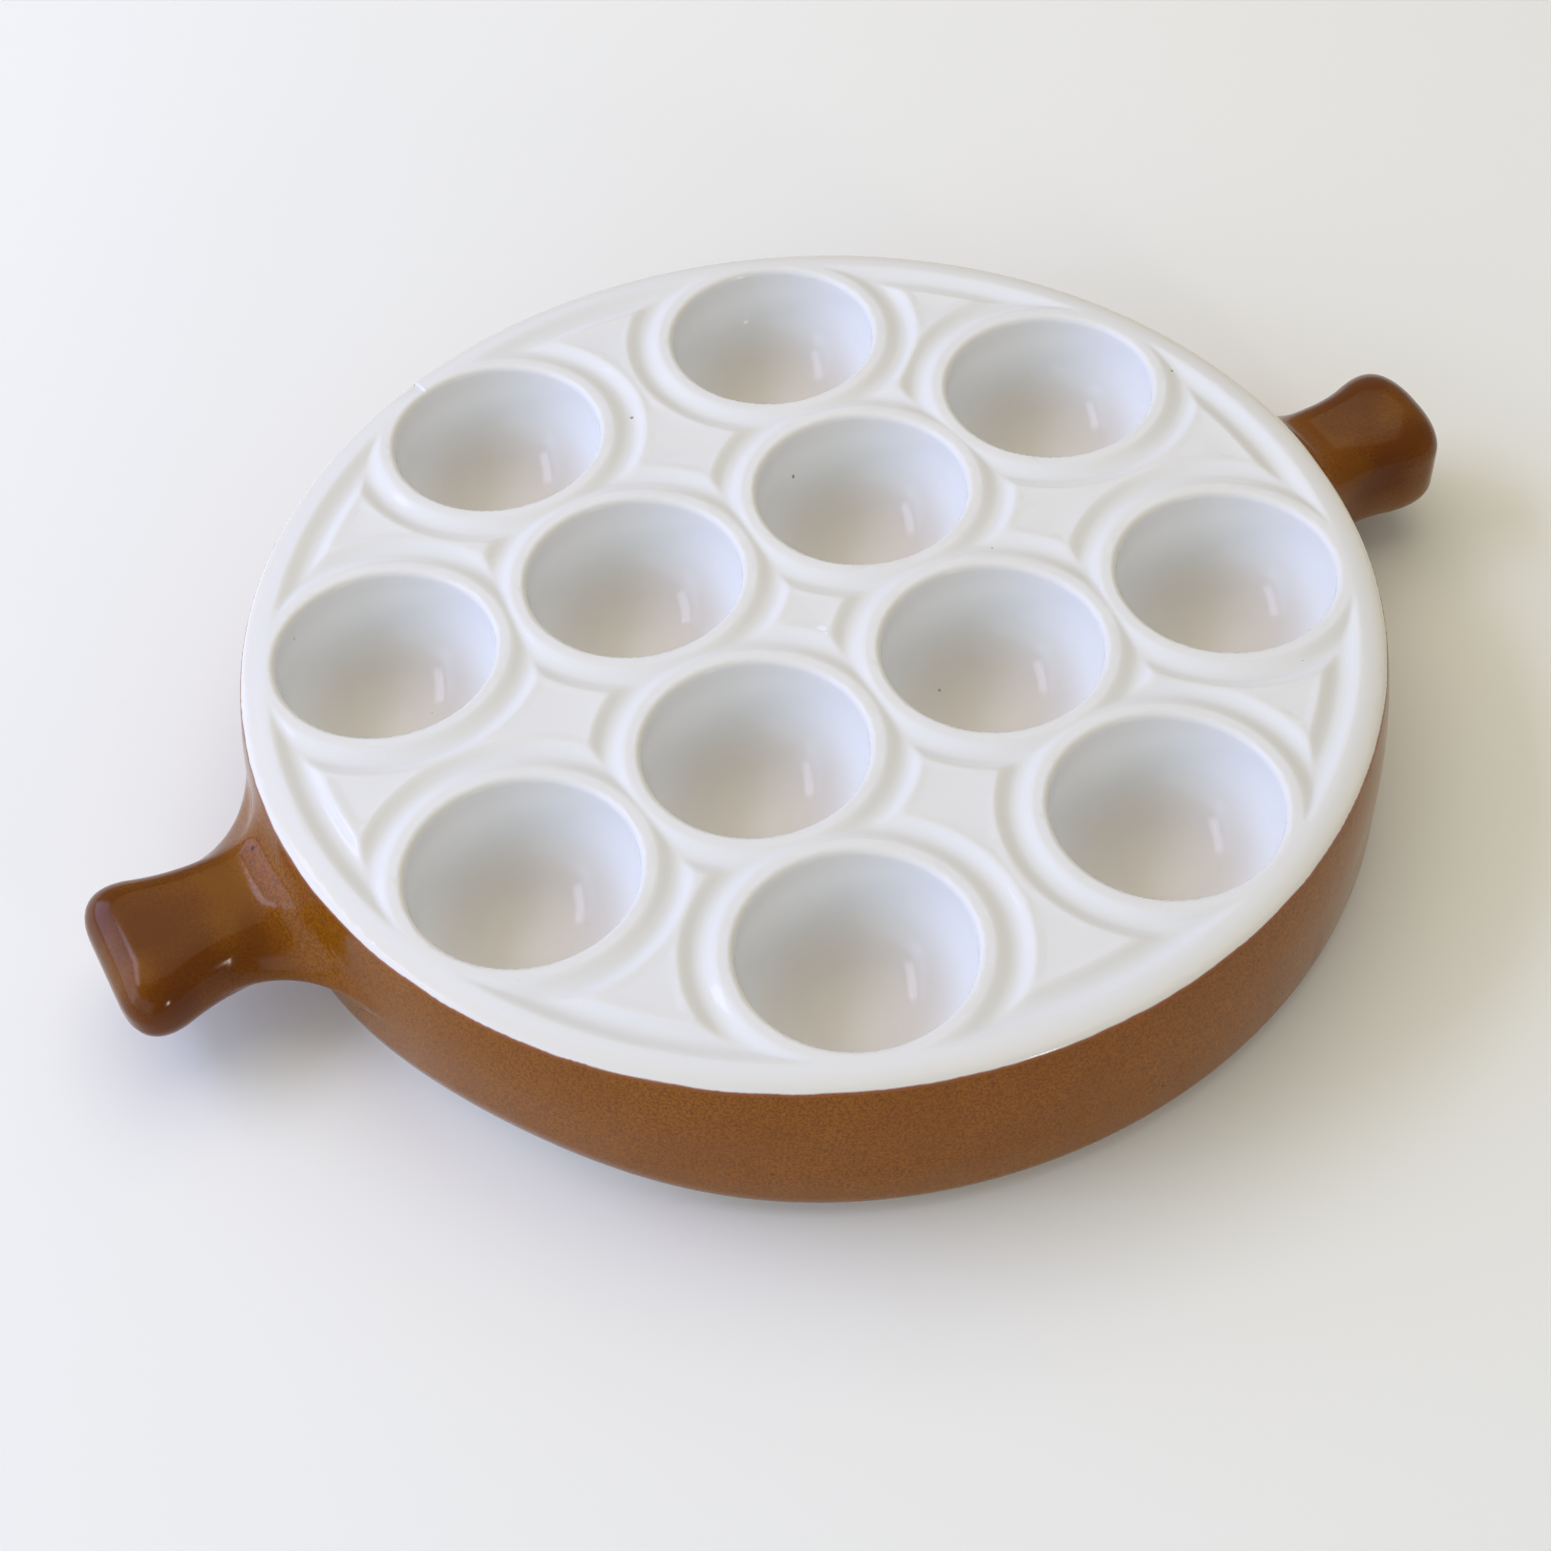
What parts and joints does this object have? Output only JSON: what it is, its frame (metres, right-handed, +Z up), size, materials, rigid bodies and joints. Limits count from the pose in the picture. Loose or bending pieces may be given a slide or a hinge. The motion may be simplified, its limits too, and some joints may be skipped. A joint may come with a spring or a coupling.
{
  "type": "escargot plate",
  "caption": "Round glazed stoneware escargot plate with snail wells in raised lips, grooved panels between them and flared stub handles on two sides.",
  "frame": {"origin": "middle of the flat foot, on the table plane", "axes": "+Z up out of the wells, X along the two handles, +X towards the handle at the right and rear of the picture, Y across"},
  "size_m": [0.268, 0.2034, 0.034],
  "materials": {
    "glazed_stoneware": "glossy off-white glaze on the deck and in the wells, glossy speckled brown glaze on the side and handles, bare clay on the foot"
  },
  "bodies": {
    "root": {"escargot_plate": "glazed_stoneware"}
  },
  "joints": []
}
